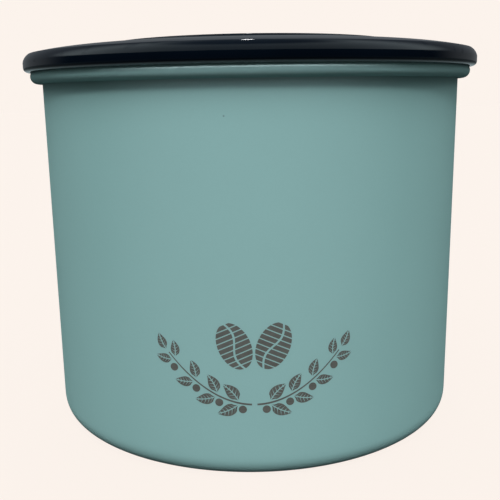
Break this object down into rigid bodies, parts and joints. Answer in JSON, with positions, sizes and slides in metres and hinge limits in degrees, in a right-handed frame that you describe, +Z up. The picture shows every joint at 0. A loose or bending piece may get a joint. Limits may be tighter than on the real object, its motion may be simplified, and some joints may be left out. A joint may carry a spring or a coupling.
{
  "type": "coffee canister",
  "caption": "Round steel coffee canister with a rolled rim, a lift-off lid, and an airtight push-down inner lid with a folding handle that opens its valve.",
  "frame": {"origin": "centre of the base, on the surface that the canister stands on", "axes": "+Z up along the canister's axis, -Y towards the pictured front, +X along the folded handle's pivot"},
  "size_m": [0.1222, 0.1222, 0.1016],
  "materials": {
    "body": "satin powder coat",
    "lid": "glossy, smoke black",
    "inner_lid": "satin, charcoal",
    "handle": "satin, black",
    "valve": "satin, grey",
    "silicone": "matt silicone, grey",
    "steel": "bright drawn steel"
  },
  "bodies": {
    "canister": {"canister_body": "body"},
    "top_lid": {"top_lid": "lid", "top_lid_gasket": "silicone"},
    "inner_lid": {"inner_lid_base": "inner_lid", "inner_lid_cover": "inner_lid", "wiper_seal": "silicone", "handle_pin_left": "steel", "handle_pin_right": "steel", "valve_spring": "steel", "degassing_valve": "silicone", "vent_guard": "valve"},
    "handle": {"lift_handle": "handle"},
    "valve": {"valve_plunger": "valve", "valve_seal": "silicone", "valve_button": "valve"}
  },
  "joints": [
    {"name": "top_lid_lift", "type": "slide", "parent": "canister", "child": "top_lid", "axis": [0, 0, 1], "range_m": [0, 0.06]},
    {"name": "inner_lid_slide", "type": "slide", "parent": "canister", "child": "inner_lid", "axis": [0, 0, 1], "range_m": [-0.042, 0.007]},
    {"name": "handle_hinge", "type": "hinge", "parent": "inner_lid", "child": "handle", "pos_m": [0, 0, 0.0669], "axis": [1, 0, 0], "range_deg": [0, 90]},
    {"name": "valve_slide", "type": "slide", "parent": "inner_lid", "child": "valve", "axis": [0, 0, -1], "range_m": [0, 0.0025], "stiffness_N_per_m": 200, "springref_m": -0.002, "deforming": ["valve_spring"]}
  ],
  "couplings": [
    {"joint": "handle_hinge", "follows": "valve_slide", "rad_per_m": 628.3}
  ]
}
